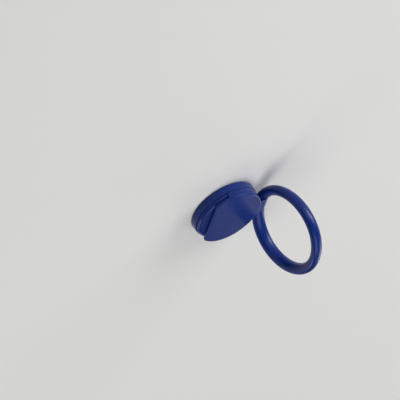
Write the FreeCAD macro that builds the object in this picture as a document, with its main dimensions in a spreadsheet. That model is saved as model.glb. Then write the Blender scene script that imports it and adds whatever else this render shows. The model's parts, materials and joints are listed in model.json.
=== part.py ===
import FreeCAD, Part
import Sketcher
import math
import os

# A stick-on ring holder: a base disc on an adhesive pad, a cap that swivels on the disc, with a
# lip above a lower terrace, and a finger ring that folds out from the cap as a stand.
# Millimetres. The origin is the centre of the adhesive face, +Z points away from the surface
# that the holder is stuck to, and +X points to the ring's hinge.

DRIVING_SIZES = [
    ("pad_thickness", 0.35, "adhesive foam pad"),
    ("pad_inset", 0.5, "how far the pad's edge lies inside the base disc's edge"),
    ("cap_radius", 12.5, "cap, seen from above"),
    ("base_overhang", 0.3, "how far the base disc's lower edge lies outside the cap's edge"),
    ("base_thickness", 2.65, "base disc"),
    ("base_draft", 0.2, "how far the base disc's wall leans in towards its upper edge"),
    ("base_rim_radius", 0.12, "rounding of the base disc's upper edge"),
    ("edge_break", 0.15, "small chamfer on moulded edges"),
    ("swivel_gap", 0.1, "running gap between the base disc and the cap"),
    ("cap_thickness", 3.0, "cap, without its spigot"),
    ("cap_edge_radius", 0.4, "rounding of the cap's upper edge"),
    ("lip_thickness", 1.15, "lip, from its underside to the cap's top"),
    ("lip_reach", 8.4, "from the swivel axis to the lip's straight edge"),
    ("lip_corner_radius", 0.8, "rounding of the lip's two corners, seen from above"),
    ("undercut_end", 3.4, "from the swivel axis to the ends of the undercut below the lip"),
    ("lip_gap", 0.25, "slit between the lip and the terrace below it"),
    ("terrace_setback", 0.25, "how far the terrace's wall lies inside the cap's edge"),
    ("terrace_edge_radius", 1.25, "rounding of the terrace's upper edge"),
    ("spigot_radius", 2.5, "swivel spigot under the cap"),
    ("spigot_clearance", 0.05, "radial running clearance of the spigot in the base disc"),
    ("axial_play", 0.05, "play of the washer under the base disc's floor"),
    ("washer_radius", 4.0, "retaining washer"),
    ("washer_thickness", 0.4, "retaining washer"),
    ("washer_room", 0.3, "radial room round the washer in the base disc's recess"),
    ("screw_radius", 1.0, "screw shank"),
    ("screw_clearance", 0.02, "radial clearance of the shank in washer and cap"),
    ("screw_grip", 3.1, "length of shank inside the cap"),
    ("screw_tip_room", 0.2, "room past the shank's tip"),
    ("head_radius", 2.0, "screw head"),
    ("head_height", 0.7, "screw head"),
    ("head_room", 0.15, "room between the screw head and the adhesive pad"),
    ("drive_length", 2.2, "cross recess in the screw head, tip to tip"),
    ("drive_width", 0.5, "cross recess in the screw head"),
    ("drive_depth", 0.4, "cross recess in the screw head"),
    ("ring_gap", 0.6, "between the cap and the folded ring"),
    ("section_width", 3.7, "finger ring's oval section, across"),
    ("section_stretch", 0.9, "how much longer than its width the oval section is"),
    ("section_lean", 25, "lean of the section from the ring's axis, in degrees, outwards below"),
    ("ring_open_angle", 98.5, "ring at rest, in degrees from folded flat"),
    ("hinge_rise", 0.4, "hinge axis above the base disc"),
    ("knuckle_radius", 2.05, "knuckle round the hinge axis"),
    ("knuckle_width", 6.8, "knuckle, along the hinge axis"),
    ("knuckle_edge_radius", 0.25, "rounding of the knuckle's end edges"),
    ("knuckle_side_gap", 0.25, "between the knuckle and each shoulder of the ring"),
    ("knuckle_relief", 0.3, "between the base disc's edge and the knuckle"),
    ("pivot_radius", 1.15, "pivot bar of the ring"),
    ("pivot_clearance", 0.05, "radial running clearance of the pivot bar"),
    ("snap_mouth", 1.9, "width of the knuckle's mouth, narrower than the pivot bar"),
    ("shoulder_edge_radius", 0.3, "rounding of the ring's shoulders"),
    ("root_depth", 3.0, "how far a joined-on feature starts inside its neighbour"),
    ("cut_margin", 1.0, "how far a cutting outline reaches past the material"),
]

# Heights, from the adhesive face up
BASE_BOTTOM = "Sizes.pad_thickness"
BASE_TOP = f"({BASE_BOTTOM} + Sizes.base_thickness)"
HEAD_BOTTOM = f"({BASE_BOTTOM} + Sizes.head_room)"
HEAD_TOP = f"({HEAD_BOTTOM} + Sizes.head_height)"
WASHER_TOP = f"({HEAD_TOP} + Sizes.washer_thickness)"
FLOOR_BOTTOM = f"({WASHER_TOP} + Sizes.axial_play)"
SHANK_TOP = f"({WASHER_TOP} + Sizes.screw_grip)"
PILOT_TOP = f"({SHANK_TOP} + Sizes.screw_tip_room)"
CAP_BOTTOM = f"({BASE_TOP} + Sizes.swivel_gap)"
CAP_TOP = f"({CAP_BOTTOM} + Sizes.cap_thickness)"
LIP_BOTTOM = f"({CAP_TOP} - Sizes.lip_thickness)"
TERRACE_TOP = f"({LIP_BOTTOM} - Sizes.lip_gap)"
HINGE_Z = f"({BASE_TOP} + Sizes.hinge_rise)"

# Radii and reaches, from the swivel axis out
PILOT_RADIUS = "(Sizes.screw_radius + Sizes.screw_clearance)"
SPIGOT_BORE = "(Sizes.spigot_radius + Sizes.spigot_clearance)"
RECESS_RADIUS = "(Sizes.washer_radius + Sizes.washer_room)"
TERRACE_RADIUS = "(Sizes.cap_radius - Sizes.terrace_setback)"
OUTSIDE = "(Sizes.cap_radius + Sizes.cut_margin)"
ROOT = "(Sizes.cap_radius - Sizes.root_depth)"
BASE_RADIUS = "(Sizes.cap_radius + Sizes.base_overhang)"

# The ring's section is an oval: half its width and length, and its half reach towards the cap
HALF_WIDTH = "(Sizes.section_width / 2)"
HALF_LENGTH = "((Sizes.section_width + Sizes.section_stretch) / 2)"
LENGTH_OUT = f"({HALF_LENGTH} * sin(Sizes.section_lean))"
LENGTH_UP = f"({HALF_LENGTH} * cos(Sizes.section_lean))"
SECTION_REACH = f"sqrt({LENGTH_OUT}^2 + ({HALF_WIDTH} * cos(Sizes.section_lean))^2)"

# The folded ring lies round the cap, so its size follows from the cap's
RING_RADIUS = f"(Sizes.cap_radius + Sizes.ring_gap + {SECTION_REACH})"
SHOULDER = "(Sizes.knuckle_width / 2 + Sizes.knuckle_side_gap)"
HINGE_X = f"sqrt({RING_RADIUS}^2 - {SHOULDER}^2)"
RING_OUTSIDE = f"({RING_RADIUS} + {SECTION_REACH} + Sizes.cut_margin)"
RING_INSIDE = f"({RING_RADIUS} - {SECTION_REACH} - Sizes.cut_margin)"
PIVOT_BORE = "(Sizes.pivot_radius + Sizes.pivot_clearance)"
KNUCKLE_TOP = f"({HINGE_Z} + Sizes.knuckle_radius)"
KNUCKLE_BOTTOM = f"({HINGE_Z} - Sizes.knuckle_radius)"

EDGE_TOLERANCE = 1e-4


doc = FreeCAD.newDocument("ring_holder")


def make_sheet():
    """Write the driving sizes into an aliased sheet."""
    sheet = doc.addObject("Spreadsheet::Sheet", "Sizes")
    for row, (alias, value, note) in enumerate(DRIVING_SIZES, start=1):
        sheet.set(f"A{row}", alias.replace("_", " "))
        sheet.set(f"B{row}", str(value))
        sheet.setAlias(f"B{row}", alias)
        sheet.set(f"C{row}", note)
    doc.recompute()
    return sheet


sheet = make_sheet()


def value_of(expression):
    """Work an expression out as a plain number."""
    return float(sheet.evalExpression(expression))


def minus(expression):
    return f"-{expression}"


def make_body(label):
    body = doc.addObject("PartDesign::Body", label)
    body.Label = label
    return body


def make_sketch(body, name, role, height=None):
    """Attach a sketch to one of the body's own origin planes, raised by height."""
    sketch = body.newObject("Sketcher::SketchObject", name)
    plane = [item for item in body.Origin.OriginFeatures if item.Role == role][0]
    sketch.AttachmentSupport = [(plane, "")]
    sketch.MapMode = "FlatFace"
    if height:
        sketch.setExpression("AttachmentOffset.Base.z", height)
    return sketch


def bind_point(sketch, geometry, point, place):
    """Tie a point's two coordinates to expressions, measured from the sketch's origin (-1, 1)."""
    for kind, expression, axis in zip(("DistanceX", "DistanceY"), place, (-2, -1)):
        if expression == "0":
            sketch.addConstraint(Sketcher.Constraint("PointOnObject", geometry, point, axis))
            continue
        tie = Sketcher.Constraint(kind, -1, 1, geometry, point, value_of(expression))
        index = sketch.addConstraint(tie)
        sketch.setExpression(f"Constraints[{index}]", expression)


def draw_outline(sketch, corners):
    """Draw a closed outline of straight lines through corners given as expressions."""
    places = [FreeCAD.Vector(value_of(x), value_of(y), 0) for x, y in corners]
    count = len(corners)
    first = sketch.GeometryCount
    for index in range(count):
        line = Part.LineSegment(places[index], places[(index + 1) % count])
        sketch.addGeometry(line, False)
    for index in range(count):
        following = first + (index + 1) % count
        sketch.addConstraint(Sketcher.Constraint("Coincident", first + index, 2, following, 1))
    for index, corner in enumerate(corners):
        bind_point(sketch, first + index, 1, corner)


def draw_rectangle(sketch, left, right, bottom, top):
    draw_outline(sketch, [(left, bottom), (right, bottom), (right, top), (left, top)])


def draw_rounded_section(sketch, left, right, bottom, top, radius):
    """Draw a rectangle whose upper right corner is an arc, tied at its ends and by its radius."""
    corners = [
        (f"({right} - {radius})", top),
        (left, top),
        (left, bottom),
        (right, bottom),
        (right, f"({top} - {radius})"),
    ]
    places = [FreeCAD.Vector(value_of(x), value_of(y), 0) for x, y in corners]
    middle = FreeCAD.Vector(places[0].x, places[-1].y, 0)
    circle = Part.Circle(middle, FreeCAD.Vector(0, 0, 1), value_of(radius))
    bend = sketch.addGeometry(Part.ArcOfCircle(circle, 0, math.pi / 2), False)
    lines = [
        sketch.addGeometry(Part.LineSegment(start, end), False)
        for start, end in zip(places, places[1:])
    ]
    sketch.addConstraint(Sketcher.Constraint("Coincident", bend, 2, lines[0], 1))
    for line, following in zip(lines, lines[1:]):
        sketch.addConstraint(Sketcher.Constraint("Coincident", line, 2, following, 1))
    sketch.addConstraint(Sketcher.Constraint("Coincident", lines[-1], 2, bend, 1))
    for line, corner in zip(lines, corners):
        bind_point(sketch, line, 1, corner)
    bind_point(sketch, lines[-1], 2, corners[-1])
    index = sketch.addConstraint(Sketcher.Constraint("Radius", bend, value_of(radius)))
    sketch.setExpression(f"Constraints[{index}]", radius)


def draw_circle(sketch, centre, radius):
    """Draw a circle with its centre, which is its point 3, and its radius tied to expressions."""
    place = FreeCAD.Vector(value_of(centre[0]), value_of(centre[1]), 0)
    circle = Part.Circle(place, FreeCAD.Vector(0, 0, 1), value_of(radius))
    geometry = sketch.addGeometry(circle, False)
    bind_point(sketch, geometry, 3, centre)
    index = sketch.addConstraint(Sketcher.Constraint("Radius", geometry, value_of(radius)))
    sketch.setExpression(f"Constraints[{index}]", radius)


def draw_oval(sketch, centre, tip, width):
    """Draw an ellipse from its centre, one end of its long axis and its width."""
    middle = FreeCAD.Vector(value_of(centre[0]), value_of(centre[1]), 0)
    end = FreeCAD.Vector(value_of(tip[0]), value_of(tip[1]), 0)
    along = (end - middle).normalize()
    side = middle + FreeCAD.Vector(-along.y, along.x, 0) * (value_of(width) / 2)
    geometry = sketch.addGeometry(Part.Ellipse(end, side, middle), False)
    sketch.exposeInternalGeometry(geometry)
    long_axis = geometry + 1
    short_axis = geometry + 2
    bind_point(sketch, geometry, 3, centre)
    bind_point(sketch, long_axis, 1, tip)
    index = sketch.addConstraint(Sketcher.Constraint("Distance", short_axis, value_of(width)))
    sketch.setExpression(f"Constraints[{index}]", width)


def revolve(body, sketch, name):
    """Turn a sketch on the XZ plane round its own upright axis."""
    feature = body.newObject("PartDesign::Revolution", name)
    feature.Profile = sketch
    feature.ReferenceAxis = (sketch, ["V_Axis"])
    feature.Angle = 360
    doc.recompute()
    return feature


def pad(body, sketch, name, length, both_sides=False):
    feature = body.newObject("PartDesign::Pad", name)
    feature.Profile = sketch
    feature.SideType = "Symmetric" if both_sides else "One side"
    feature.setExpression("Length", length)
    doc.recompute()
    return feature


def cut(body, sketch, name, depth=None):
    """Cut a sketch through the body on both sides, or upwards to a depth."""
    before = body.Shape.Volume
    feature = body.newObject("PartDesign::Pocket", name)
    feature.Profile = sketch
    if depth:
        feature.Reversed = True
        feature.setExpression("Length", depth)
    else:
        feature.SideType = "Symmetric"
        feature.Type = "ThroughAll"
    doc.recompute()
    if body.Shape.Volume >= before:
        raise RuntimeError(f"{name} cuts nothing")
    return feature


def cut_round(body, sketch, name):
    """Cut a sketch on the XZ plane all round its own upright axis."""
    before = body.Shape.Volume
    feature = body.newObject("PartDesign::Groove", name)
    feature.Profile = sketch
    feature.ReferenceAxis = (sketch, ["V_Axis"])
    feature.Angle = 360
    doc.recompute()
    if body.Shape.Volume >= before:
        raise RuntimeError(f"{name} cuts nothing")
    return feature


def round_edges(body, name, radius, chosen):
    """Round every edge of the body that chosen accepts."""
    base = body.Tip
    names = [f"Edge{number}" for number, edge in enumerate(base.Shape.Edges, start=1) if chosen(edge)]
    if not names:
        raise RuntimeError(f"{name} finds no edge")
    feature = body.newObject("PartDesign::Fillet", name)
    feature.Base = (base, names)
    feature.setExpression("Radius", radius)
    doc.recompute()
    return feature


def lies_at(edge, axis, expression):
    """True where the whole edge lies at one coordinate along an axis."""
    place = value_of(expression)
    box = edge.BoundBox
    low = getattr(box, f"{axis}Min")
    high = getattr(box, f"{axis}Max")
    return abs(low - place) < EDGE_TOLERANCE and abs(high - place) < EDGE_TOLERANCE


def edge_radius(edge):
    return getattr(edge.Curve, "Radius", 0)


def make_adhesive_pad():
    body = make_body("adhesive_pad")
    sketch = make_sketch(body, "pad_outline", "XY_Plane")
    draw_circle(sketch, ("0", "0"), f"({BASE_RADIUS} - Sizes.pad_inset)")
    pad(body, sketch, "pad_foam", "Sizes.pad_thickness")
    return body


def make_base_disc():
    """A disc with a bearing bore, and a recess below for the washer and the screw head."""
    body = make_body("base_disc")
    sketch = make_sketch(body, "disc_section", "XZ_Plane")
    draw_outline(sketch, [
        (SPIGOT_BORE, BASE_TOP),
        (f"({BASE_RADIUS} - Sizes.base_draft)", BASE_TOP),
        (BASE_RADIUS, f"({BASE_BOTTOM} + Sizes.edge_break)"),
        (f"({BASE_RADIUS} - Sizes.edge_break)", BASE_BOTTOM),
        (RECESS_RADIUS, BASE_BOTTOM),
        (RECESS_RADIUS, FLOOR_BOTTOM),
        (SPIGOT_BORE, FLOOR_BOTTOM),
    ])
    revolve(body, sketch, "disc_turned")

    def is_rim(edge):
        return lies_at(edge, "Z", BASE_TOP) and edge_radius(edge) > value_of(RECESS_RADIUS)

    round_edges(body, "disc_rim", "Sizes.base_rim_radius", is_rim)
    return body


def make_swivel_cap():
    """The cap: a disc with a spigot, a lip above a rounded terrace, and the ring's knuckle."""
    body = make_body("swivel_cap")
    section = make_sketch(body, "cap_section", "XZ_Plane")
    draw_outline(section, [
        ("0", CAP_TOP),
        ("Sizes.cap_radius", CAP_TOP),
        ("Sizes.cap_radius", f"({CAP_BOTTOM} + Sizes.edge_break)"),
        ("(Sizes.cap_radius - Sizes.edge_break)", CAP_BOTTOM),
        ("Sizes.spigot_radius", CAP_BOTTOM),
        ("Sizes.spigot_radius", WASHER_TOP),
        (PILOT_RADIUS, WASHER_TOP),
        (PILOT_RADIUS, PILOT_TOP),
        ("0", PILOT_TOP),
    ])
    revolve(body, section, "cap_turned")

    step = make_sketch(body, "step_outline", "XZ_Plane")
    below = f"({CAP_BOTTOM} - Sizes.cut_margin)"
    above = f"({CAP_TOP} + Sizes.cut_margin)"
    draw_outline(step, [
        (minus(OUTSIDE), below),
        ("-Sizes.undercut_end", below),
        ("-Sizes.undercut_end", LIP_BOTTOM),
        ("-Sizes.lip_reach", LIP_BOTTOM),
        ("-Sizes.lip_reach", above),
        (minus(OUTSIDE), above),
    ])
    cut(body, step, "lip_step")

    def is_lip_corner(edge):
        return lies_at(edge, "X", "-Sizes.lip_reach") and edge.BoundBox.ZLength > EDGE_TOLERANCE

    round_edges(body, "lip_corners", "Sizes.lip_corner_radius", is_lip_corner)
    round_edges(body, "cap_edge", "Sizes.cap_edge_radius", lambda edge: lies_at(edge, "Z", CAP_TOP))

    terrace = make_sketch(body, "terrace_section", "XZ_Plane")
    draw_rounded_section(
        terrace, "Sizes.spigot_radius", TERRACE_RADIUS, CAP_BOTTOM, TERRACE_TOP, "Sizes.terrace_edge_radius")
    revolve(body, terrace, "cap_terrace")

    web = make_sketch(body, "web_outline", "XZ_Plane")
    draw_rectangle(web, ROOT, HINGE_X, CAP_BOTTOM, KNUCKLE_TOP)
    pad(body, web, "knuckle_web", "Sizes.knuckle_width", both_sides=True)
    barrel = make_sketch(body, "barrel_outline", "XZ_Plane")
    draw_circle(barrel, (HINGE_X, HINGE_Z), "Sizes.knuckle_radius")
    pad(body, barrel, "knuckle_barrel", "Sizes.knuckle_width", both_sides=True)

    relief = make_sketch(body, "relief_section", "XZ_Plane")
    relief_radius = f"({BASE_RADIUS} + Sizes.knuckle_relief)"
    draw_rectangle(relief, ROOT, relief_radius, minus("Sizes.cut_margin"), CAP_BOTTOM)
    cut_round(body, relief, "knuckle_relief_cut")

    def is_knuckle_end(edge):
        half = "Sizes.knuckle_width / 2"
        at_end = lies_at(edge, "Y", half) or lies_at(edge, "Y", minus(half))
        return at_end and abs(edge_radius(edge) - value_of("Sizes.knuckle_radius")) < EDGE_TOLERANCE

    round_edges(body, "knuckle_ends", "Sizes.knuckle_edge_radius", is_knuckle_end)

    bore = make_sketch(body, "bore_outline", "XZ_Plane")
    draw_circle(bore, (HINGE_X, HINGE_Z), PIVOT_BORE)
    cut(body, bore, "pivot_bore")
    mouth = make_sketch(body, "mouth_outline", "XZ_Plane")
    mouth_bottom = f"({KNUCKLE_BOTTOM} - Sizes.cut_margin)"
    mouth_left = f"({HINGE_X} - Sizes.snap_mouth / 2)"
    mouth_right = f"({HINGE_X} + Sizes.snap_mouth / 2)"
    draw_rectangle(mouth, mouth_left, mouth_right, mouth_bottom, HINGE_Z)
    cut(body, mouth, "snap_mouth_cut")
    return body


def make_retaining_washer():
    body = make_body("retaining_washer")
    sketch = make_sketch(body, "washer_outline", "XY_Plane", HEAD_TOP)
    draw_circle(sketch, ("0", "0"), "Sizes.washer_radius")
    draw_circle(sketch, ("0", "0"), PILOT_RADIUS)
    pad(body, sketch, "washer_plate", "Sizes.washer_thickness")
    return body


def make_pivot_screw():
    """A low-headed screw, driven up into the spigot through the washer."""
    body = make_body("pivot_screw")
    section = make_sketch(body, "screw_section", "XZ_Plane")
    draw_outline(section, [
        ("0", HEAD_BOTTOM),
        ("(Sizes.head_radius - Sizes.edge_break)", HEAD_BOTTOM),
        ("Sizes.head_radius", f"({HEAD_BOTTOM} + Sizes.edge_break)"),
        ("Sizes.head_radius", HEAD_TOP),
        ("Sizes.screw_radius", HEAD_TOP),
        ("Sizes.screw_radius", f"({SHANK_TOP} - Sizes.edge_break)"),
        ("(Sizes.screw_radius - Sizes.edge_break)", SHANK_TOP),
        ("0", SHANK_TOP),
    ])
    revolve(body, section, "screw_turned")

    reach = "Sizes.drive_length / 2"
    side = "Sizes.drive_width / 2"
    cross = make_sketch(body, "drive_outline", "XY_Plane", HEAD_BOTTOM)
    draw_outline(cross, [
        (reach, minus(side)), (reach, side), (side, side),
        (side, reach), (minus(side), reach), (minus(side), side),
        (minus(reach), side), (minus(reach), minus(side)), (minus(side), minus(side)),
        (minus(side), minus(reach)), (side, minus(reach)), (side, minus(side)),
    ])
    cut(body, cross, "drive_recess", "Sizes.drive_depth")
    return body


def make_finger_ring():
    """A ring of leaning oval section that necks down to a straight pivot bar inside the knuckle."""
    body = make_body("finger_ring")
    section = make_sketch(body, "ring_section", "XZ_Plane")
    tip = (f"({RING_RADIUS} + {LENGTH_OUT})", minus(LENGTH_UP))
    draw_oval(section, (RING_RADIUS, "0"), tip, "Sizes.section_width")
    revolve(body, section, "ring_turned")

    gap = make_sketch(body, "gap_outline", "XY_Plane")
    draw_rectangle(gap, RING_INSIDE, RING_OUTSIDE, minus(SHOULDER), SHOULDER)
    cut(body, gap, "hinge_gap")

    def is_shoulder(edge):
        return lies_at(edge, "Y", SHOULDER) or lies_at(edge, "Y", minus(SHOULDER))

    round_edges(body, "shoulder_edges", "Sizes.shoulder_edge_radius", is_shoulder)

    bar = make_sketch(body, "bar_outline", "XZ_Plane")
    draw_circle(bar, (HINGE_X, "0"), "Sizes.pivot_radius")
    pad(body, bar, "pivot_bar", f"2 * {SHOULDER} + Sizes.section_width / 2", both_sides=True)

    body.Placement = FreeCAD.Placement(FreeCAD.Vector(), FreeCAD.Rotation(FreeCAD.Vector(0, 1, 0), 1))
    body.setExpression("Placement.Rotation.Angle", "Sizes.ring_open_angle")
    body.setExpression("Placement.Base.x", f"{HINGE_X} * (1 - cos(Sizes.ring_open_angle))")
    body.setExpression("Placement.Base.z", f"{HINGE_Z} + {HINGE_X} * sin(Sizes.ring_open_angle)")
    return body


def check_and_write(bodies):
    """Stop on any failed object, then write one file for each sub-part."""
    doc.recompute()
    for item in doc.Objects:
        if "Invalid" in item.State or "Error" in item.State:
            raise RuntimeError(f"{item.Label} failed: {item.State}")
    for body in bodies:
        if body.Shape.isNull() or not body.Shape.isValid():
            raise RuntimeError(f"{body.Label} has no valid shape")
        if len(body.Shape.Solids) != 1:
            raise RuntimeError(f"{body.Label} is not one solid")
    os.makedirs("parts", exist_ok=True)
    for body in bodies:
        body.Shape.exportStep(f"parts/{body.Label}.step")


check_and_write([
    make_adhesive_pad(),
    make_base_disc(),
    make_swivel_cap(),
    make_retaining_washer(),
    make_pivot_screw(),
    make_finger_ring(),
])
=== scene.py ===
import json
import math
from contextlib import contextmanager

import bmesh
import bpy
from bpy.props import FloatProperty, FloatVectorProperty, PointerProperty
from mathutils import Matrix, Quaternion, Vector


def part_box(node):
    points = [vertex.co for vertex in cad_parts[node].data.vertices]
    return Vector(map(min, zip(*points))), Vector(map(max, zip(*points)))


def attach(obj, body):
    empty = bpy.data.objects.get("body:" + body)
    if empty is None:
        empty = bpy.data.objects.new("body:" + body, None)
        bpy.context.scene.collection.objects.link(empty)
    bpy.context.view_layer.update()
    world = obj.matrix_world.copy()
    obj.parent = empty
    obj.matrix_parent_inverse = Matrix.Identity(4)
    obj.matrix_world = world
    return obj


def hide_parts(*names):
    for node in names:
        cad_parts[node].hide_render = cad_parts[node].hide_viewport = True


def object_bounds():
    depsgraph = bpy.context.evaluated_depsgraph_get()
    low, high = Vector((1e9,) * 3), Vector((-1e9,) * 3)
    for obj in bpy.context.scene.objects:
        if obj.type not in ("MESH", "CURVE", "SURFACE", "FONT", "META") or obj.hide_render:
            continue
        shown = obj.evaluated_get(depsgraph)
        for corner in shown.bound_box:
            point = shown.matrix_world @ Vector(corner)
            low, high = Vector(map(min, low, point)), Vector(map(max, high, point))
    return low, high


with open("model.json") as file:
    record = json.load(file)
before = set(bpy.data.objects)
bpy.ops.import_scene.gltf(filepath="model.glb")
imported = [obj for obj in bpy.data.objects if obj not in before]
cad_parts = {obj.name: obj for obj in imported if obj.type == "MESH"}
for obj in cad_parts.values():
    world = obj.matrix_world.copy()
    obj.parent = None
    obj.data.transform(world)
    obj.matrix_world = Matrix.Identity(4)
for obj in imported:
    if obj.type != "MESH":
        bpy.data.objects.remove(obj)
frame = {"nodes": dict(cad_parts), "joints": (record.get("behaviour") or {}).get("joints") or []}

bl_info = {
    "name": "Ring Holder",
    "version": (1, 0, 0),
    "blender": (4, 5, 0),
    "location": "View3D > Sidebar > Ring Holder",
    "description": "Models a stick-on ring holder with a swivelling cap, a low terrace and a finger ring",
    "category": "Object",
}

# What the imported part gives: its box, its nodes' boxes and the ring's hinge
PART_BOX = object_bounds()
PAD_LOW, PAD_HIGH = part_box("adhesive_pad")
DISC_LOW, DISC_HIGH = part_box("base_disc")
CAP_LOW, CAP_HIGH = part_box("swivel_cap")
_, WASHER_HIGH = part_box("retaining_washer")
_, SCREW_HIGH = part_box("pivot_screw")
FOLD = next(joint for joint in frame["joints"] if joint["name"] == "ring_fold")
HINGE = Vector(FOLD["pos_m"])
OPEN_ANGLE = math.radians(-FOLD["range_deg"][0])

UP = Vector((0, 0, 1))
ACROSS = Vector((0, 1, 0))
FULL_TURN = 2 * math.pi
HALF_TURN = math.pi
QUARTER_TURN = math.pi / 2
LYING = (QUARTER_TURN, 0, 0)

# Tolerances of the modelling, in metres, and the cosine above which two directions count as one
TINY = 1e-6
FINE = TINY / 10
MERGE_REACH = 10 * TINY
JOIN_DEPTH = 1e-5
SAME_WAY = 0.999

# Numbers of sides and steps
ROUND_SIDES = 240
LIP_SIDES = ROUND_SIDES // 8
RING_STEPS = 360
SECTION_SIDES = 72
BEARING_SIDES = 96
PILOT_SIDES = 48
BARREL_STEPS = 36
BORE_STEPS = 48
TONGUE_STEPS = 14
TERRACE_STEPS = 14
RIM_STEPS = 6
EDGE_STEPS = 3
SHOULDER_STEPS = 4

# Sizes that other sizes follow, in metres
KNUCKLE_WIDTH = 0.0068
KNUCKLE_ROOT = 0.003
SIDE_GAP = 0.00025
WASHER_ROOM = 0.0003
WASHER_PLAY = 0.00005
SCREW_ROOM = 0.0002

# Shading: the angle below which faces meet smoothly, and how far large faces lead the normals
SMOOTH_ANGLE = math.radians(32)
FACE_WEIGHT = 100

# Finish: how strongly each mark roughens the moulded plastic, and how rough the noise itself is
FLOW_MATT = 0.02
GRAIN_MATT = 0.05
SCUFF_MATT = 0.03
NOISE_ROUGHNESS = 0.55

# Stage: the floor's side, the camera's sensor in millimetres, its nearest view, and the soft lights,
# each as name, azimuth and elevation in degrees, width and height in metres, and power in watts
FLOOR_SIDE = 6
SENSOR_WIDTH = 36
NEAREST_VIEW = 0.01
LIGHT_DISTANCE = 0.7
SOFT_LIGHTS = (
    ("side_light", 50, 11, 0.48, 0.24, 3.2),
    ("front_light", 108, 15, 0.3, 0.22, 0.42),
    ("top_light", 190, 76, 0.6, 0.6, 2.1),
    ("rear_light", 232, 18, 0.3, 0.26, 0.7),
    ("low_light", 331, 21, 0.4, 0.2, 0.85),
    ("sheen_light", 315, 17, 0.26, 0.24, 0.18),
    ("ledge_light", 299, 46, 0.26, 0.24, 0.07),
)


def length(name, description, default):
    return FloatProperty(name=name, description=description, default=default, unit="LENGTH", precision=6)


def turn(name, description, degrees):
    return FloatProperty(name=name, description=description, default=math.radians(degrees), unit="ROTATION")


def share(name, description, default):
    return FloatProperty(name=name, description=description, default=default, min=0, max=1, subtype="FACTOR")


def colour(name, description, default):
    return FloatVectorProperty(
        name=name, description=description, default=default, size=3, min=0, max=1, subtype="COLOR"
    )


class RingHolderSizes(bpy.types.PropertyGroup):
    """Sizes of the holder's pieces, in metres."""

    disc_radius: length("Disc radius", "Base disc", DISC_HIGH.x)
    disc_bottom: length("Disc bottom", "Height of the base disc's underside", DISC_LOW.z)
    disc_top: length("Disc top", "Height of the base disc's upper face", DISC_HIGH.z)
    disc_draft: length("Disc draft", "How far the base disc's wall leans in towards its upper edge", 0.0002)
    disc_rim: length("Disc rim", "Rounding of the base disc's upper edge", 0.00012)
    swivel_gap: length("Swivel gap", "Gap between the base disc and the cap", 0.0001)
    cap_radius: length("Cap radius", "Cap, seen from above", CAP_HIGH.y)
    cap_top: length("Cap top", "Height of the cap's upper face", CAP_HIGH.z)
    cap_rim: length("Cap rim", "Rounding of the cap's upper edge", 0.0004)
    lip_thickness: length("Lip thickness", "Lip, from its underside to the cap's top", 0.00115)
    lip_gap: length("Lip gap", "Slit between the lip and the terrace below it", 0.00025)
    lip_reach: length("Lip reach", "From the swivel axis to the lip's straight edge", 0.0084)
    lip_corner: length("Lip corner", "Rounding of the lip's corners", 0.0008)
    undercut_end: length("Undercut end", "From the swivel axis to the ends of the lip's undercut", 0.0034)
    terrace_radius: length("Terrace radius", "Low terrace opposite the hinge", -CAP_LOW.x)
    terrace_edge: length("Terrace edge", "Rounding of the terrace's upper edge", 0.00125)
    soft_edge: length("Soft edge", "Rounding of the small moulded edges", 0.00012)
    seam_edge: length("Seam edge", "Rounding of the cap's lower edge at the seam", 0.00004)
    spigot_radius: length("Spigot radius", "Spigot that the cap turns on", 0.0025)
    spigot_clearance: length("Spigot clearance", "Room round the spigot", 0.00005)
    recess_radius: length("Recess radius", "Recess under the base disc", WASHER_HIGH.x + WASHER_ROOM)
    recess_top: length("Recess top", "Height of the recess's ceiling", WASHER_HIGH.z + WASHER_PLAY)
    pilot_radius: length("Pilot radius", "Screw hole in the spigot", 0.00102)
    pilot_top: length("Pilot top", "Height of the screw hole's end", SCREW_HIGH.z + SCREW_ROOM)
    ring_radius: length("Ring radius", "Finger ring, to the middle of its section",
                        math.hypot(HINGE.x, KNUCKLE_WIDTH / 2 + SIDE_GAP))
    section_width: length("Section width", "Oval section of the finger ring, across", 0.0037)
    section_length: length("Section length", "Oval section of the finger ring, along", 0.0046)
    section_lean: turn("Section lean", "Lean of the oval section, outwards below", 25)
    parting_ridge: length("Parting ridge", "How far the ring's mould line stands proud", 0.000012)
    knuckle_radius: length("Knuckle radius", "Knuckle, round the hinge", 0.00205)
    knuckle_width: length("Knuckle width", "Knuckle, along the hinge", KNUCKLE_WIDTH)
    knuckle_edge: length("Knuckle edge", "Rounding of the knuckle's ends", 0.00025)
    knuckle_relief: length("Knuckle relief", "Between the base disc and the knuckle", 0.0003)
    side_gap: length("Side gap", "Between the knuckle and the ring's shoulders", SIDE_GAP)
    shoulder_edge: length("Shoulder edge", "Rounding of the ring's shoulders", 0.0003)
    pivot_radius: length("Pivot radius", "Pivot bar of the ring", 0.00115)
    pivot_clearance: length("Pivot clearance", "Room round the pivot bar", 0.00005)
    snap_mouth: length("Snap mouth", "Mouth of the knuckle", 0.0019)
    pad_radius: length("Pad radius", "Foam pad", PAD_HIGH.x)
    film: length("Film", "Adhesive film on each face of the foam", 0.00006)


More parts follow.
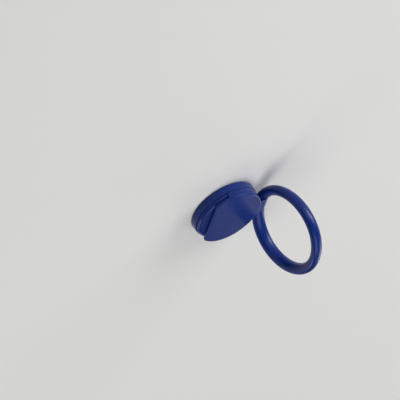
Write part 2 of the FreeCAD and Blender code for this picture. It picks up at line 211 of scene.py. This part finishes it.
class RingHolderFinish(bpy.types.PropertyGroup):
    """Colours and finishes."""

    blue: colour("Blue", "Moulded plastic", (0.0062, 0.0320, 0.2350))
    blue_deep: colour("Deep blue", "Moulded plastic where the colour runs deeper", (0.0054, 0.0280, 0.2130))
    gloss: share("Gloss roughness", "Roughness of the moulded plastic", 0.29)
    sheen: share("Sheen", "Strength of the moulded plastic's reflections", 0.3)
    foam: colour("Foam", "Foam pad", (0.012, 0.012, 0.013))
    film: colour("Film", "Adhesive film on the pad's face", (0.030, 0.030, 0.032))
    steel: colour("Steel", "Plated screw and washer", (0.62, 0.61, 0.58))
    floor: colour("Floor", "Plain floor, as it is seen", (0.97, 0.965, 0.955))
    floor_bounce: colour("Floor bounce", "Plain floor, in the light that it throws back", (0.25, 0.25, 0.25))


class RingHolderStage(bpy.types.PropertyGroup):
    """Camera and light."""

    camera_place: FloatVectorProperty(
        name="Camera place", description="Where the camera stands", unit="LENGTH",
        default=(-0.436667, 0.660498, 0.391969))
    camera_aim: FloatVectorProperty(
        name="Camera aim", description="Point that the camera looks at", unit="LENGTH",
        default=(-0.011498, 0.007866, -0.000236))
    camera_roll: turn("Camera roll", "Turn of the camera about its own line of sight", 145.5)
    lens: FloatProperty(name="Lens", description="Focal length, in millimetres", default=225.0)
    sky: share("Sky", "Brightness of the plain surroundings", 0.1)


def sizes():
    return bpy.context.scene.ring_holder_sizes


def finish():
    return bpy.context.scene.ring_holder_finish


class Shade:
    """A shader socket that takes Python's operators: each one adds a Math node."""

    def __init__(self, maker, socket):
        self.maker = maker
        self.socket = socket

    def maths(self, operation, first, second):
        return self.maker.node("ShaderNodeMath", {"operation": operation}, {0: first, 1: second})

    def __add__(self, other):
        return self.maths("ADD", self, other)

    def __radd__(self, other):
        return self.maths("ADD", other, self)

    def __sub__(self, other):
        return self.maths("SUBTRACT", self, other)

    def __rsub__(self, other):
        return self.maths("SUBTRACT", other, self)

    def __mul__(self, other):
        return self.maths("MULTIPLY", self, other)

    def __rmul__(self, other):
        return self.maths("MULTIPLY", other, self)


class FinishMaker:
    """One material and the nodes that are added to it."""

    def __init__(self, name):
        self.material = bpy.data.materials.new(name)
        self.material.use_nodes = True
        self.tree = self.material.node_tree
        self.shader = self.tree.nodes["Principled BSDF"]
        self.place = self.node("ShaderNodeTexCoord", output="Object")

    def node(self, kind, settings=None, inputs=None, output=0):
        """Add a node: settings first, then the values or links of its sockets."""
        added = self.tree.nodes.new(kind)
        for name, value in (settings or {}).items():
            setattr(added, name, value)
        for key, value in (inputs or {}).items():
            self.feed(added.inputs[key], value)
        return Shade(self, added.outputs[output])

    def feed(self, socket, value):
        if isinstance(value, Shade):
            self.tree.links.new(value.socket, socket)
        else:
            socket.default_value = value

    def noise(self, feature, detail=2.0, stretch=(1, 1, 1)):
        """Noise whose features are about that many metres across."""
        vector = self.node("ShaderNodeMapping", {"vector_type": "POINT"},
                           {"Vector": self.place, "Scale": stretch})
        inputs = {"Vector": vector, "Scale": 1 / feature, "Detail": detail, "Roughness": NOISE_ROUGHNESS}
        return self.node("ShaderNodeTexNoise", {"noise_dimensions": "3D"}, inputs, "Fac")

    def between(self, value, low, high):
        """Spread a value so that low becomes 0 and high becomes 1."""
        return self.node("ShaderNodeMapRange", {"clamp": True},
                         {"Value": value, "From Min": low, "From Max": high})

    def mix(self, factor, first, second):
        settings = {"data_type": "RGBA", "blend_type": "MIX"}
        return self.node("ShaderNodeMix", settings, {0: factor, 6: (*first, 1), 7: (*second, 1)}, 2)

    def bump(self, height, depth):
        """Turn a height from 0 to 1 into a normal, with relief that many metres deep."""
        self.feed(self.shader.inputs["Normal"], self.node(
            "ShaderNodeBump", inputs={"Strength": 1.0, "Distance": depth, "Height": height}))

    def set(self, **sockets):
        for name, value in sockets.items():
            self.feed(self.shader.inputs[name.replace("_", " ")], value)


def moulded_blue():
    """Royal-blue plastic from a polished mould: satin gloss, faint flow marks, fine grain, hairlines."""
    maker = FinishMaker("moulded_blue")
    flow = maker.between(maker.noise(feature=0.009, detail=3), low=0.3, high=0.7)
    grain = maker.noise(feature=0.00016)
    peel = maker.noise(feature=0.0011, detail=1)
    hairline = maker.between(maker.noise(feature=0.0012, stretch=(16, 1, 1)), low=0.66, high=0.72)
    crossing = maker.between(maker.noise(feature=0.0014, stretch=(1, 18, 1)), low=0.68, high=0.74)
    scuffs = hairline + crossing
    maker.set(
        Base_Color=maker.mix(flow, finish().blue_deep, finish().blue),
        Roughness=(finish().gloss + (flow - 0.5) * FLOW_MATT + (grain - 0.5) * GRAIN_MATT
                   + scuffs * SCUFF_MATT),
        Specular_IOR_Level=finish().sheen,
    )
    maker.bump(peel * 0.7 + grain * 0.3, depth=0.0000015)
    return maker.material


def foam_black():
    """Closed-cell foam, matt and pitted."""
    maker = FinishMaker("foam_black")
    cell_size = 0.00022
    cells = maker.node("ShaderNodeTexVoronoi", {"feature": "F1"},
                       {"Vector": maker.place, "Scale": 1 / cell_size}, "Distance")
    cloud = maker.noise(feature=0.002, detail=3)
    maker.set(
        Base_Color=maker.mix(maker.between(cells, low=0.1, high=0.7), finish().film, finish().foam),
        Roughness=0.72 + cloud * 0.2,
    )
    maker.bump(cells, depth=0.00004)
    return maker.material


def plated_steel():
    """Bright zinc plating with turning marks."""
    maker = FinishMaker("plated_steel")
    cloud = maker.noise(feature=0.0008, detail=3)
    marks = maker.noise(feature=0.0004, stretch=(1, 1, 8))
    tone = finish().steel
    dull = tuple(0.8 * part for part in tone)
    maker.set(
        Base_Color=maker.mix(cloud, dull, tone),
        Metallic=1.0,
        Roughness=0.24 + cloud * 0.1 + marks * 0.08,
    )
    maker.bump(marks, depth=0.000004)
    return maker.material


def floor_matt():
    """A plain pale floor that throws little light back up."""
    maker = FinishMaker("floor_matt")
    seen = sum(maker.node("ShaderNodeLightPath", output=f"Is {kind} Ray")
               for kind in ("Camera", "Glossy", "Transmission"))
    maker.set(Base_Color=maker.mix(seen, finish().floor_bounce, finish().floor), Roughness=0.9)
    return maker.material


def choose_nothing():
    if bpy.context.mode != "OBJECT":
        bpy.ops.object.mode_set(mode="OBJECT")
    bpy.ops.object.select_all(action="DESELECT")


def choose(piece):
    choose_nothing()
    piece.select_set(True)
    bpy.context.view_layer.objects.active = piece


def added(name, operator, **settings):
    """Add a primitive at its size and place, with the place kept in its mesh."""
    choose_nothing()
    operator(**settings)
    piece = bpy.context.active_object
    piece.name = name
    piece.data.name = name
    bpy.ops.object.transform_apply(location=True, rotation=True, scale=True)
    return piece


def added_cylinder(name, radius, low, high, sides):
    return added(name, bpy.ops.mesh.primitive_cylinder_add, vertices=sides, radius=radius,
                 depth=high - low, location=(0, 0, (low + high) / 2))


@contextmanager
def editing(piece, kind):
    """Open a piece in edit mode with nothing selected, for verts, edges or faces."""
    choose(piece)
    bpy.ops.object.mode_set(mode="EDIT")
    bpy.ops.mesh.select_mode(type=kind)
    bpy.ops.mesh.select_all(action="DESELECT")
    yield
    bpy.ops.object.mode_set(mode="OBJECT")


def pick(kind, chosen):
    """Select what chosen accepts, of the open mesh's verts, edges or faces, and nothing else."""
    bpy.ops.mesh.select_all(action="DESELECT")
    data = bpy.context.edit_object.data
    mesh = bmesh.from_edit_mesh(data)
    found = [item for item in getattr(mesh, kind) if chosen(item)]
    if not found:
        raise RuntimeError(f"nothing to pick among the {kind} of {data.name}")
    for item in found:
        item.select_set(True)
    mesh.select_flush_mode()
    bmesh.update_edit_mesh(data)


def ends(edge):
    return [vert.co for vert in edge.verts]


def flat_at(edge, height):
    """True where an edge lies level at that height."""
    return all(abs(co.z - height) < TINY for co in ends(edge))


def facing(face, direction):
    return face.normal.dot(direction) > SAME_WAY


def bevel(chosen, width, steps):
    pick("edges", chosen)
    bpy.ops.mesh.bevel(offset=width, offset_type="OFFSET", segments=steps, profile=0.5,
                       affect="EDGES", clamp_overlap=True)


def extrude(move):
    bpy.ops.mesh.extrude_region_move(TRANSFORM_OT_translate={"value": move})


def start_outline(name, point):
    """Begin an outline as one vertex, left open in edit mode."""
    piece = added(name, bpy.ops.mesh.primitive_plane_add, size=TINY, location=point)
    bpy.ops.object.mode_set(mode="EDIT")
    bpy.ops.mesh.select_mode(type="VERT")
    bpy.ops.mesh.select_all(action="SELECT")
    bpy.ops.mesh.merge(type="CENTER")
    return piece


def arc(centre, axis, angle, steps):
    """Carry the outline round a centre, by the right-hand rule: spin counts the other way."""
    bpy.ops.mesh.spin(steps=steps, angle=-angle, center=centre, axis=axis)


def merge_outline():
    bpy.ops.mesh.select_all(action="SELECT")
    bpy.ops.mesh.remove_doubles(threshold=MERGE_REACH)


def fill_between(low, high):
    """Fill the outline's loop between two places along X."""
    pick("verts", lambda vert: low - TINY < vert.co.x < high + TINY)
    bpy.ops.mesh.edge_face_add()


def face_outwards():
    bpy.ops.mesh.select_all(action="SELECT")
    bpy.ops.mesh.normals_make_consistent(inside=False)


def apply_modifier(piece, kind, **settings):
    choose(piece)
    modifier = piece.modifiers.new(kind.title(), kind)
    for name, value in settings.items():
        setattr(modifier, name, value)
    bpy.ops.object.modifier_apply(modifier=modifier.name)


def combine(piece, tool, operation):
    """Join a tool shape to a piece, or cut it away, and remove the tool."""
    apply_modifier(piece, "BOOLEAN", operation=operation, solver="EXACT", object=tool)
    bpy.data.objects.remove(tool)


def smooth(piece):
    """Smooth shading that keeps the flats flat and the sharp corners sharp."""
    choose(piece)
    bpy.ops.object.shade_smooth_by_angle(angle=SMOOTH_ANGLE)
    apply_modifier(piece, "WEIGHTED_NORMAL", mode="FACE_AREA", weight=FACE_WEIGHT, keep_sharp=True)


def dress(piece, material, body, slot, *nodes):
    """Give a finished piece its material, and put it in place of the part's own nodes."""
    piece.data.materials.clear()
    piece.data.materials.append(material)
    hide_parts(*nodes)
    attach(piece, body)


def material_of(maker):
    """The material that a maker function makes, made once."""
    return bpy.data.materials.get(maker.__name__) or maker()


class RINGHOLDER_OT_adhesive_pad(bpy.types.Operator):
    """Model the foam pad: foam between two adhesive films, with a slightly bellied edge"""

    bl_idname = "ring_holder.adhesive_pad"
    bl_label = "Adhesive Pad"

    def execute(self, context):
        size = sizes()
        belly = size.film
        pad = added_cylinder("foam_pad", size.pad_radius - belly, PAD_LOW.z, PAD_HIGH.z, ROUND_SIDES)
        with editing(pad, "FACE"):
            for outwards in (UP, -UP):
                pick("faces", lambda face: facing(face, outwards))
                bpy.ops.mesh.inset(thickness=size.film, depth=0)
                bpy.ops.mesh.inset(thickness=size.film, depth=-size.film / 3)
        with editing(pad, "EDGE"):
            thickness = PAD_HIGH.z - PAD_LOW.z
            for height in (size.film, thickness / 2, thickness - size.film):
                bpy.ops.mesh.select_all(action="SELECT")
                bpy.ops.mesh.bisect(plane_co=(0, 0, PAD_LOW.z + height), plane_no=UP, threshold=FINE)
            pick("edges", lambda edge: flat_at(edge, PAD_LOW.z + thickness / 2))
            swell = 1 + belly / (size.pad_radius - belly)
            bpy.ops.transform.resize(value=(swell, swell, 1), center_override=(0, 0, 0))
        smooth(pad)
        dress(pad, material_of(foam_black), "base", "adhesive_foam", "adhesive_pad")
        return {"FINISHED"}


class RINGHOLDER_OT_base_disc(bpy.types.Operator):
    """Model the base disc: a rounded rim, a bearing bore and a recess under it"""

    bl_idname = "ring_holder.base_disc"
    bl_label = "Base Disc"

    def execute(self, context):
        size = sizes()
        bore = size.spigot_radius + size.spigot_clearance
        disc = added_cylinder("base_disc_moulding", size.disc_radius, size.disc_bottom, size.disc_top,
                              ROUND_SIDES)
        with editing(disc, "EDGE"):
            pick("edges", lambda edge: flat_at(edge, size.disc_top))
            lean = 1 - size.disc_draft / size.disc_radius
            bpy.ops.transform.resize(value=(lean, lean, 1), center_override=(0, 0, size.disc_top))
            bevel(lambda edge: flat_at(edge, size.disc_top), size.disc_rim, RIM_STEPS)
            bevel(lambda edge: flat_at(edge, size.disc_bottom), size.soft_edge, EDGE_STEPS)
        with editing(disc, "FACE"):
            pick("faces", lambda face: facing(face, UP) and len(face.verts) == ROUND_SIDES)
            bpy.ops.mesh.inset(thickness=size.disc_radius - size.disc_draft - size.disc_rim - bore)
            bpy.ops.mesh.delete(type="ONLY_FACE")
            pick("faces", lambda face: facing(face, -UP) and len(face.verts) == ROUND_SIDES)
            bpy.ops.mesh.inset(thickness=size.disc_radius - size.soft_edge - size.recess_radius)
            extrude((0, 0, size.recess_top - size.disc_bottom))
            bpy.ops.mesh.inset(thickness=size.recess_radius - bore)
            bpy.ops.mesh.delete(type="ONLY_FACE")
        with editing(disc, "EDGE"):
            pick("edges", lambda edge: edge.is_boundary)
            bpy.ops.mesh.bridge_edge_loops()
            face_outwards()
        smooth(disc)
        dress(disc, material_of(moulded_blue), "base", "blue_plastic", "base_disc")
        return {"FINISHED"}


class RINGHOLDER_OT_swivel_cap(bpy.types.Operator):
    """Model the cap: a disc with a straight-edged lip above a rounded terrace, a spigot and a knuckle"""

    bl_idname = "ring_holder.swivel_cap"
    bl_label = "Swivel Cap"

    def plate(self, size):
        """The cap's two outlines, drawn at the lip's underside and pulled up and down from there."""
        underside = size.cap_top - size.lip_thickness
        cap_bottom = size.disc_top + size.swivel_gap
        wall = math.sqrt(size.cap_radius**2 - size.undercut_end**2)
        wall_angle = math.atan2(wall, -size.undercut_end)
        corner_x = -size.lip_reach + size.lip_corner
        corner_y = math.sqrt((size.cap_radius - size.lip_corner) ** 2 - corner_x**2)
        corner_angle = math.atan2(corner_y, corner_x)
        axis_point = (0, 0, underside)
        cap = start_outline("cap_moulding", (-size.undercut_end, wall, underside))
        arc(axis_point, UP, -2 * wall_angle, ROUND_SIDES)
        arc(axis_point, UP, wall_angle - corner_angle, LIP_SIDES)
        arc((corner_x, -corner_y, underside), UP, corner_angle - HALF_TURN, RIM_STEPS)
        extrude((0, 2 * corner_y, 0))
        arc((corner_x, corner_y, underside), UP, corner_angle - HALF_TURN, RIM_STEPS)
        arc(axis_point, UP, wall_angle - corner_angle, LIP_SIDES)
        merge_outline()
        fill_between(-size.undercut_end, size.cap_radius)
        fill_between(-size.cap_radius, -size.undercut_end)
        bpy.ops.mesh.select_all(action="SELECT")
        extrude((0, 0, size.cap_top - underside))
        face_outwards()
        with editing(cap, "FACE"):
            pick("faces", lambda face: facing(face, -UP) and face.calc_center_median().x > -size.undercut_end)
            extrude((0, 0, cap_bottom - underside))
            face_outwards()
        with editing(cap, "EDGE"):
            pick("edges", lambda edge: flat_at(edge, size.cap_top)
                 and all(abs(co.x + size.undercut_end) < TINY for co in ends(edge)))
            bpy.ops.mesh.dissolve_edges()
            bevel(lambda edge: flat_at(edge, size.cap_top), size.cap_rim, RIM_STEPS)
            bevel(lambda edge: flat_at(edge, cap_bottom), size.seam_edge, EDGE_STEPS)
            bevel(lambda edge: flat_at(edge, underside)
                  and any(co.x < -size.undercut_end - TINY for co in ends(edge)), size.soft_edge, EDGE_STEPS)
        return cap

    def terrace(self, size):
        """The low drum that shows beyond the lip, with a well rounded upper edge."""
        bottom = size.disc_top + size.swivel_gap + JOIN_DEPTH
        top = size.cap_top - size.lip_thickness - size.lip_gap
        terrace = added_cylinder("terrace", size.terrace_radius, bottom, top, ROUND_SIDES)
        with editing(terrace, "EDGE"):
            bevel(lambda edge: flat_at(edge, top), size.terrace_edge, TERRACE_STEPS)
            bevel(lambda edge: flat_at(edge, bottom), size.seam_edge, EDGE_STEPS)
        return terrace

    def knuckle(self, size):
        """A tongue that runs out into an open barrel, drawn from the side and pulled across."""
        bore = size.pivot_radius + size.pivot_clearance
        half_mouth = size.snap_mouth / 2
        mouth_outer = math.asin(half_mouth / size.knuckle_radius)
        mouth_inner = math.asin(half_mouth / bore)
        root = size.cap_radius - KNUCKLE_ROOT
        underside = size.disc_top + size.swivel_gap + JOIN_DEPTH
        side = -size.knuckle_width / 2
        centre = HINGE + side * ACROSS
        drop_outer = size.knuckle_radius * math.cos(mouth_outer)
        drop_inner = bore * math.cos(mouth_inner)
        underside_angle = math.asin((HINGE.z - underside) / size.knuckle_radius)
        knuckle = start_outline("knuckle", (root, side, HINGE.z + size.knuckle_radius))
        extrude((HINGE.x - root, 0, 0))
        arc(centre, ACROSS, HALF_TURN - mouth_outer, BARREL_STEPS)
        extrude((0, 0, drop_outer - drop_inner))
        arc(centre, ACROSS, 2 * mouth_inner - FULL_TURN, BORE_STEPS)
        extrude((0, 0, drop_inner - drop_outer))
        arc(centre, ACROSS, QUARTER_TURN - mouth_outer - underside_angle, TONGUE_STEPS)
        reach = size.knuckle_radius * math.cos(underside_angle)
        extrude((root - HINGE.x + reach, 0, 0))
        merge_outline()
        bpy.ops.mesh.edge_face_add()
        extrude((0, size.knuckle_width, 0))
        face_outwards()
        with editing(knuckle, "EDGE"):
            bevel(lambda edge: all(abs(abs(co.y) + side) < TINY for co in ends(edge)),
                  size.knuckle_edge, EDGE_STEPS)
        relief = added_cylinder("relief", size.disc_radius + size.knuckle_relief, 0, underside - TINY,
                                ROUND_SIDES)
        combine(knuckle, relief, "DIFFERENCE")
        return knuckle

    def execute(self, context):
        size = sizes()
        cap = self.plate(size)
        spigot_top = (size.disc_top + size.cap_top) / 2
        spigot = added_cylinder("spigot", size.spigot_radius, WASHER_HIGH.z, spigot_top, BEARING_SIDES)
        with editing(spigot, "EDGE"):
            bevel(lambda edge: flat_at(edge, WASHER_HIGH.z), size.soft_edge, EDGE_STEPS)
        combine(cap, spigot, "UNION")
        combine(cap, self.terrace(size), "UNION")
        pilot = added_cylinder("pilot", size.pilot_radius, 0, size.pilot_top, PILOT_SIDES)
        combine(cap, pilot, "DIFFERENCE")
        combine(cap, self.knuckle(size), "UNION")
        smooth(cap)
        dress(cap, material_of(moulded_blue), "swivel", "blue_plastic", "swivel_cap")
        return {"FINISHED"}


class RINGHOLDER_OT_finger_ring(bpy.types.Operator):
    """Model the finger ring: a leaning oval swept round, with shoulders and a pivot bar between them"""

    bl_idname = "ring_holder.finger_ring"
    bl_label = "Finger Ring"

    def section(self, size, middle):
        """The oval, with a fine mould line on its outermost and innermost points."""
        half_width = size.section_width / 2
        half_length = size.section_length / 2
        ring = added("ring_moulding", bpy.ops.mesh.primitive_circle_add, vertices=SECTION_SIDES,
                     radius=half_length, location=middle, rotation=LYING)
        with editing(ring, "VERT"):
            bpy.ops.mesh.select_all(action="SELECT")
            bpy.ops.transform.resize(value=(half_width / half_length, 1, 1), center_override=middle)
            bpy.ops.transform.rotate(value=size.section_lean, orient_axis="Y", center_override=middle)
        reach = max(vert.co.x for vert in ring.data.vertices) - middle.x
        with editing(ring, "VERT"):
            pick("verts", lambda vert: abs(vert.co.x - middle.x) > reach - TINY)
            swell = 1 + size.parting_ridge / reach
            bpy.ops.transform.resize(value=(swell, 1, 1), center_override=middle)
        return ring

    def execute(self, context):
        size = sizes()
        shoulder = size.knuckle_width / 2 + size.side_gap
        start = math.asin(shoulder / size.ring_radius) / 2
        ring = self.section(size, Vector((size.ring_radius, 0, HINGE.z)))
        with editing(ring, "VERT"):
            bpy.ops.mesh.select_all(action="SELECT")
            bpy.ops.transform.rotate(value=-start, orient_axis="Z", center_override=(0, 0, HINGE.z))
            arc((0, 0, HINGE.z), UP, FULL_TURN - 2 * start, RING_STEPS)
        with editing(ring, "FACE"):
            for side in (1, -1):
                pick("faces", lambda face: face.calc_center_median().x > 0
                     and face.calc_center_median().y * side > 0)
                bpy.ops.mesh.bisect(plane_co=(0, side * shoulder, 0), plane_no=(0, side, 0),
                                    clear_inner=True, use_fill=True, threshold=FINE)
            face_outwards()
        with editing(ring, "EDGE"):
            bevel(lambda edge: all(abs(abs(co.y) - shoulder) < TINY for co in ends(edge))
                  and edge.calc_length() < size.shoulder_edge, size.shoulder_edge, SHOULDER_STEPS)
        bar = added("pivot_bar", bpy.ops.mesh.primitive_cylinder_add, vertices=BEARING_SIDES,
                    radius=size.pivot_radius, depth=2 * shoulder + size.section_width / 2,
                    location=HINGE, rotation=LYING)
        combine(ring, bar, "UNION")
        with editing(ring, "FACE"):
            bpy.ops.mesh.select_all(action="SELECT")
            bpy.ops.transform.rotate(value=-OPEN_ANGLE, orient_axis="Y", center_override=HINGE)
            face_outwards()
        smooth(ring)
        dress(ring, material_of(moulded_blue), "ring", "blue_plastic", "finger_ring")
        return {"FINISHED"}


class RINGHOLDER_OT_swivel_fixings(bpy.types.Operator):
    """Plate the screw and the washer that hold the cap to the base disc"""

    bl_idname = "ring_holder.swivel_fixings"
    bl_label = "Swivel Fixings"

    def execute(self, context):
        for node in ("pivot_screw", "retaining_washer"):
            data = frame["nodes"][node].data
            data.materials.clear()
            data.materials.append(material_of(plated_steel))
        return {"FINISHED"}


class RINGHOLDER_OT_stage(bpy.types.Operator):
    """Set out the floor, the soft lights and the camera"""

    bl_idname = "ring_holder.stage"
    bl_label = "Stage"

    def softbox(self, target, name, azimuth, elevation, width, height, power):
        """A soft light in that direction from the target, in degrees."""
        bearing = math.radians(azimuth)
        lift = math.radians(elevation)
        level = math.cos(lift)
        way = Vector((math.cos(bearing) * level, math.sin(bearing) * level, math.sin(lift)))
        light = bpy.data.lights.new(name, "AREA")
        light.shape = "RECTANGLE"
        light.size = width
        light.size_y = height
        light.energy = power
        lamp = bpy.data.objects.new(name, light)
        lamp.location = target + way * LIGHT_DISTANCE
        lamp.rotation_mode = "QUATERNION"
        lamp.rotation_quaternion = (-way).to_track_quat("-Z", "Y")
        bpy.context.scene.collection.objects.link(lamp)

    def surroundings(self, brightness):
        world = bpy.data.worlds.new("plain_surroundings")
        world.use_nodes = True
        background = world.node_tree.nodes["Background"]
        background.inputs["Color"].default_value = (1, 1, 1, 1)
        background.inputs["Strength"].default_value = brightness
        bpy.context.scene.world = world

    def camera(self, stage):
        lens = bpy.data.cameras.new("view")
        lens.sensor_width = SENSOR_WIDTH
        lens.lens = stage.lens
        lens.clip_start = NEAREST_VIEW
        view = bpy.data.objects.new("view", lens)
        place = Vector(stage.camera_place)
        sight = (Vector(stage.camera_aim) - place).to_track_quat("-Z", "Y")
        view.location = place
        view.rotation_mode = "QUATERNION"
        view.rotation_quaternion = sight @ Quaternion(UP, stage.camera_roll)
        bpy.context.scene.collection.objects.link(view)
        bpy.context.scene.camera = view

    def execute(self, context):
        stage = context.scene.ring_holder_stage
        floor = added("floor", bpy.ops.mesh.primitive_plane_add, size=FLOOR_SIDE, location=(0, 0, 0))
        floor.data.materials.append(material_of(floor_matt))
        target = (PART_BOX[0] + PART_BOX[1]) / 2
        for light in SOFT_LIGHTS:
            self.softbox(target, *light)
        self.surroundings(stage.sky)
        self.camera(stage)
        context.scene.view_settings.view_transform = "Standard"
        return {"FINISHED"}


PIECE_OPERATORS = (
    RINGHOLDER_OT_adhesive_pad,
    RINGHOLDER_OT_base_disc,
    RINGHOLDER_OT_swivel_cap,
    RINGHOLDER_OT_finger_ring,
    RINGHOLDER_OT_swivel_fixings,
    RINGHOLDER_OT_stage,
)


class RINGHOLDER_PT_panel(bpy.types.Panel):
    """Lists the holder's pieces and settings"""

    bl_label = "Ring Holder"
    bl_idname = "RINGHOLDER_PT_panel"
    bl_space_type = "VIEW_3D"
    bl_region_type = "UI"
    bl_category = "Ring Holder"

    def draw(self, context):
        for operator in PIECE_OPERATORS:
            self.layout.operator(operator.bl_idname)
        for settings in (sizes(), finish(), context.scene.ring_holder_stage):
            for name in settings.__annotations__:
                self.layout.prop(settings, name)


SETTINGS = {
    "ring_holder_sizes": RingHolderSizes,
    "ring_holder_finish": RingHolderFinish,
    "ring_holder_stage": RingHolderStage,
}


def register():
    for kind in (*SETTINGS.values(), *PIECE_OPERATORS, RINGHOLDER_PT_panel):
        bpy.utils.register_class(kind)
    for name, kind in SETTINGS.items():
        setattr(bpy.types.Scene, name, PointerProperty(type=kind))


def unregister():
    for name in SETTINGS:
        delattr(bpy.types.Scene, name)
    for kind in (RINGHOLDER_PT_panel, *PIECE_OPERATORS, *SETTINGS.values()):
        bpy.utils.unregister_class(kind)


def main():
    register()
    bpy.ops.ring_holder.adhesive_pad()
    bpy.ops.ring_holder.base_disc()
    bpy.ops.ring_holder.swivel_cap()
    bpy.ops.ring_holder.finger_ring()
    bpy.ops.ring_holder.swivel_fixings()
    bpy.ops.ring_holder.stage()


if __name__ == "__main__":
    main()
